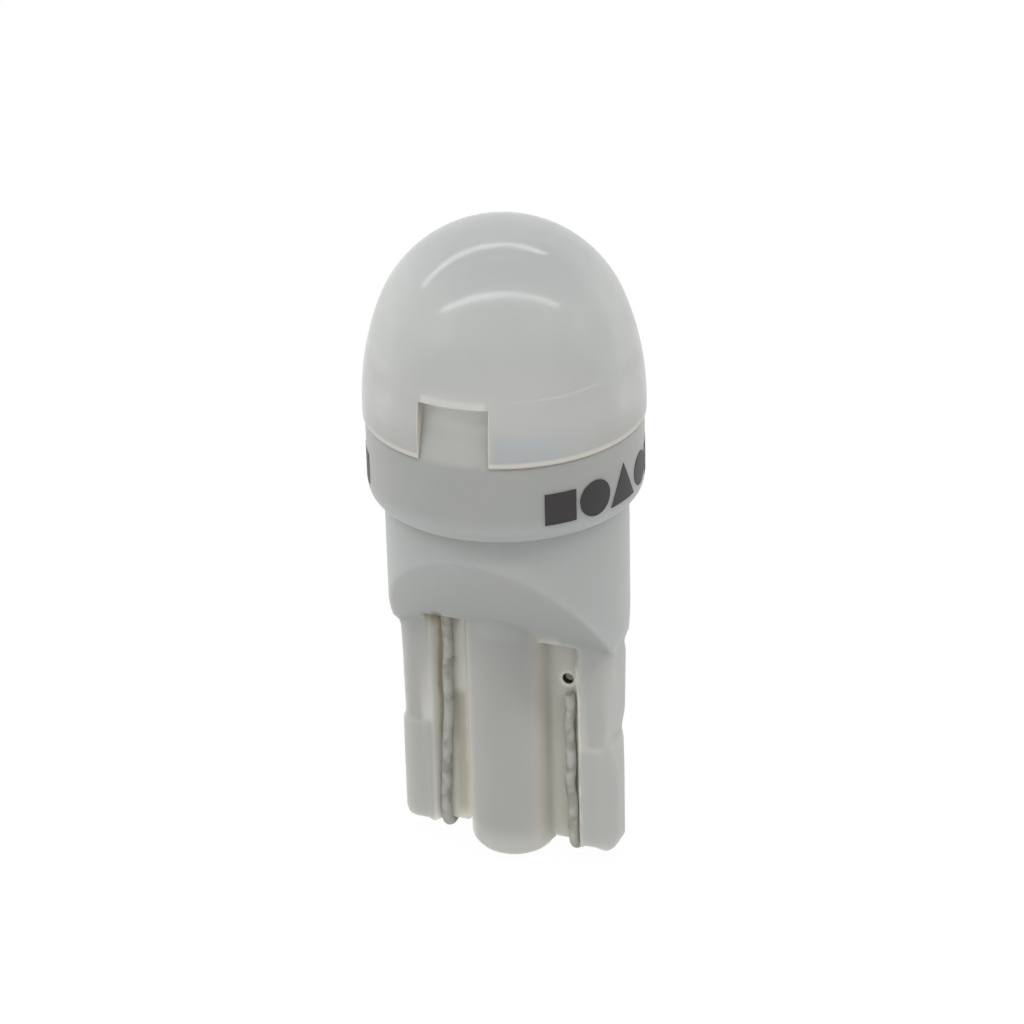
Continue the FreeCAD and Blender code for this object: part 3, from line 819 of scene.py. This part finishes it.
def dress_inner_nodes():
    """Gives the solids that stay their own finishes."""
    for name, low, high, size, roughness, metallic, wearers in INNER_FINISHES:
        finish = plain(name, low, high, size, roughness, metallic)
        for wearer in wearers:
            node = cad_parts[wearer]
            node.data.materials.clear()
            node.data.materials.append(finish)


def add_camera():
    """The camera at the photograph's viewing angle."""
    azimuth = math.radians(CAMERA_AZIMUTH)
    elevation = math.radians(CAMERA_ELEVATION)
    roll = math.radians(CAMERA_ROLL)
    back = Vector((
        math.sin(azimuth) * math.cos(elevation),
        -math.cos(azimuth) * math.cos(elevation),
        math.sin(elevation),
    ))
    right = Vector((0, 0, 1)).cross(back).normalized()
    up = back.cross(right)
    across = right * math.cos(roll) + up * math.sin(roll)
    upwards = up * math.cos(roll) - right * math.sin(roll)
    place = Vector((0, 0, CAMERA_TARGET_Z)) + back * CAMERA_DISTANCE
    data = bpy.data.cameras.new("camera")
    data.lens = CAMERA_LENS
    data.sensor_width = CAMERA_SENSOR
    data.shift_x, data.shift_y = CAMERA_SHIFT
    data.clip_start, data.clip_end = CAMERA_CLIP
    camera = bpy.data.objects.new("camera", data)
    turn = Matrix((across, upwards, back)).transposed().to_4x4()
    camera.matrix_world = Matrix.Translation(place * MM) @ turn
    bpy.context.scene.collection.objects.link(camera)
    bpy.context.scene.camera = camera


def strip_light(name, behind, left, right, width, strength):
    """A long lamp overhead, across the view and facing the cap's top."""
    azimuth = math.radians(CAMERA_AZIMUTH)
    across = Vector((math.cos(azimuth), math.sin(azimuth), 0))
    away = Vector((-math.sin(azimuth), math.cos(azimuth), 0))
    top = Vector((0, 0, DOME_TOP * MM))
    centre = top + (across * (left + right) / 2 + away * behind + Vector((0, 0, 1))) * STRIP_HEIGHT
    data = bpy.data.lights.new(name, "AREA")
    data.shape = "RECTANGLE"
    data.size = (right - left) * STRIP_HEIGHT
    data.size_y = width * STRIP_HEIGHT
    data.energy = strength * math.pi * data.size * data.size_y
    lamp = bpy.data.objects.new(name, data)
    facing = (centre - top).normalized()
    side = (across - facing * across.dot(facing)).normalized()
    turn = Matrix((side, facing.cross(side), facing)).transposed().to_4x4()
    lamp.matrix_world = Matrix.Translation(centre) @ turn
    bpy.context.scene.collection.objects.link(lamp)


def brightness(nodes, links, socket):
    """Sets a strength of 1 for what is seen, straight, mirrored or through glass, and less as light."""
    path = nodes.new("ShaderNodeLightPath")
    seen = path.outputs["Is Camera Ray"]
    for name in ("Is Glossy Ray", "Is Transmission Ray"):
        either = nodes.new("ShaderNodeMath")
        either.operation = "MAXIMUM"
        links.new(seen, either.inputs[0])
        links.new(path.outputs[name], either.inputs[1])
        seen = either.outputs[0]
    strength = nodes.new("ShaderNodeMapRange")
    strength.inputs["To Min"].default_value = SURROUNDINGS
    strength.inputs["To Max"].default_value = 1.0
    links.new(seen, strength.inputs["Value"])
    links.new(strength.outputs["Result"], socket)


def add_world():
    """Even white surroundings."""
    world = bpy.data.worlds.new("surroundings")
    bpy.context.scene.world = world
    world.use_nodes = True
    background = world.node_tree.nodes["Background"]
    background.inputs["Color"].default_value = (1, 1, 1, 1)
    brightness(world.node_tree.nodes, world.node_tree.links, background.inputs["Strength"])


def add_floor():
    """A plain pale floor under the part, which glows white and keeps a faint shadow."""
    bm = bmesh.new()
    bmesh.ops.create_grid(bm, x_segments=1, y_segments=1, size=FLOOR_HALF)
    floor = mesh_object("floor", mesh_from(bm, "floor"))
    material = bpy.data.materials.new("floor")
    material.use_nodes = True
    nodes = material.node_tree.nodes
    links = material.node_tree.links
    surface = nodes["Principled BSDF"]
    surface.inputs["Base Color"].default_value = (FLOOR_GREY, FLOOR_GREY, FLOOR_GREY, 1)
    surface.inputs["Roughness"].default_value = FLOOR_ROUGHNESS
    glow = nodes.new("ShaderNodeEmission")
    glow.inputs["Color"].default_value = (1, 1, 1, 1)
    brightness(nodes, links, glow.inputs["Strength"])
    blend = nodes.new("ShaderNodeMixShader")
    blend.inputs["Fac"].default_value = FLOOR_GLOW
    links.new(surface.outputs[0], blend.inputs[1])
    links.new(glow.outputs[0], blend.inputs[2])
    links.new(blend.outputs[0], nodes["Material Output"].inputs["Surface"])
    floor.data.materials.append(material)


def main():
    bpy.context.scene.view_settings.view_transform = "Standard"
    housing()
    dome()
    wires()
    collar_marks()
    dress_inner_nodes()
    add_camera()
    for strip in STRIPS:
        strip_light(*strip)
    add_world()
    add_floor()


main()
